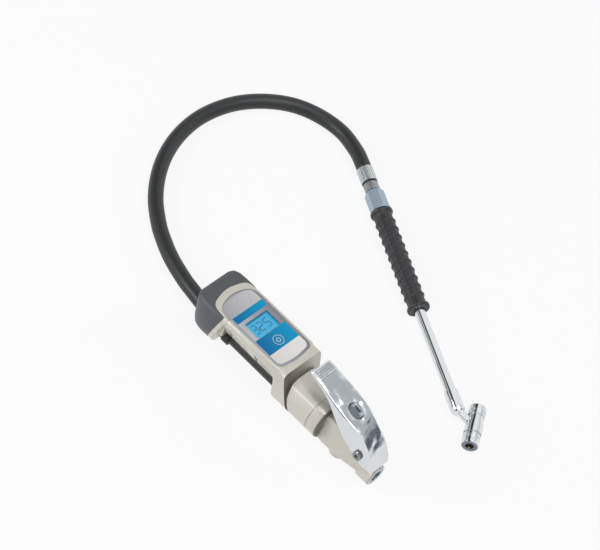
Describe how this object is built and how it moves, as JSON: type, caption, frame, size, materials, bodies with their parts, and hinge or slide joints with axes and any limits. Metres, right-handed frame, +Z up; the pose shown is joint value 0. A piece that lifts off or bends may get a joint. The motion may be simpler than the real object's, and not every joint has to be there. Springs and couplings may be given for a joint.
{
  "type": "tyre inflator with gauge",
  "caption": "Hand-held tyre inflator with a digital gauge, squeeze lever, short hose and twin-mouth chuck on a gripped wand.",
  "frame": {"origin": "centre of the air inlet's mouth, on the front end of the valve body", "axes": "+X out of the inlet along the body, +Z up through the gauge face, +Y to the side on which the hose loops back to the chuck"},
  "size_m": [0.4333, 0.2999, 0.0749],
  "materials": {
    "satin_nickel": "satin",
    "grey_moulding": "satin",
    "zinc": "satin",
    "printed_label": "satin",
    "display_blue": "gloss",
    "board_green": "satin",
    "black_moulding": "satin",
    "button_blue": "gloss",
    "cell_jacket": "gloss",
    "clear_tube": "satin",
    "brass": "satin",
    "chrome": "polished",
    "rubber": "matte",
    "hose_rubber": "matte",
    "ferrule_silver": "satin",
    "grip_rubber": "matte"
  },
  "bodies": {
    "body": {"gauge_housing": "satin_nickel", "rear_cap": "grey_moulding", "cap_screws": "zinc", "label_plate": "printed_label", "display_window": "display_blue", "display_module": "display_blue", "circuit_board": "board_green", "tact_switch": "black_moulding", "battery_tray": "black_moulding", "batteries": "cell_jacket", "battery_contacts": "zinc", "pressure_sensor": "zinc", "pressure_tube": "clear_tube", "handle_shell": "satin_nickel", "valve_body": "satin_nickel", "tie_screws": "zinc", "inlet_bush": "zinc", "inlet_filter": "brass", "lever_pivot_screw": "zinc", "lever_pivot_nut": "zinc", "stem_gland": "brass", "stem_seal": "rubber", "valve_spring": "zinc", "valve_plug": "brass", "plug_seal": "rubber", "hose_tail": "brass", "hose_tail_ferrule": "zinc", "hose_inner_run": "hose_rubber", "hose_collar": "rubber", "hose": "hose_rubber", "crimp_ferrule": "ferrule_silver", "wand_tail": "chrome", "hex_adaptor": "zinc", "wand_grip": "grip_rubber", "wand_tube": "chrome", "chuck_elbow": "chrome", "chuck_body": "chrome", "chuck_cap_front": "chrome", "chuck_cap_rear": "chrome", "chuck_seals": "rubber", "depressor_springs": "zinc"},
    "squeeze_lever": {"lever": "chrome"},
    "stem": {"valve_stem": "chrome", "valve_poppet": "brass", "poppet_seal": "rubber"},
    "button": {"power_button": "button_blue"},
    "pin_front": {"depressor_pin_front": "brass"},
    "pin_rear": {"depressor_pin_rear": "brass"}
  },
  "joints": [
    {"name": "lever_press", "type": "hinge", "parent": "body", "child": "squeeze_lever", "pos_m": [-0.0195, 0, 0.0215], "axis": [0, -1, 0], "range_deg": [0, 12], "stiffness_Nm_per_rad": 1.5},
    {"name": "stem_slide", "type": "slide", "parent": "body", "child": "stem", "axis": [0, 0, -1], "range_m": [0, 0.005], "deforming": ["valve_spring"]},
    {"name": "button_press", "type": "slide", "parent": "body", "child": "button", "axis": [0, 0, -1], "range_m": [0, 0.0005], "stiffness_N_per_m": 800},
    {"name": "pin_front_press", "type": "slide", "parent": "body", "child": "pin_front", "axis": [-0.5225, 0.8526, 0], "range_m": [0, 0.002], "stiffness_N_per_m": 300, "deforming": ["depressor_springs"]},
    {"name": "pin_rear_press", "type": "slide", "parent": "body", "child": "pin_rear", "axis": [0.5225, -0.8526, 0], "range_m": [0, 0.002], "stiffness_N_per_m": 300, "deforming": ["depressor_springs"]}
  ],
  "couplings": [
    {"joint": "stem_slide", "follows": "lever_press", "m_per_rad": 0.02386}
  ]
}
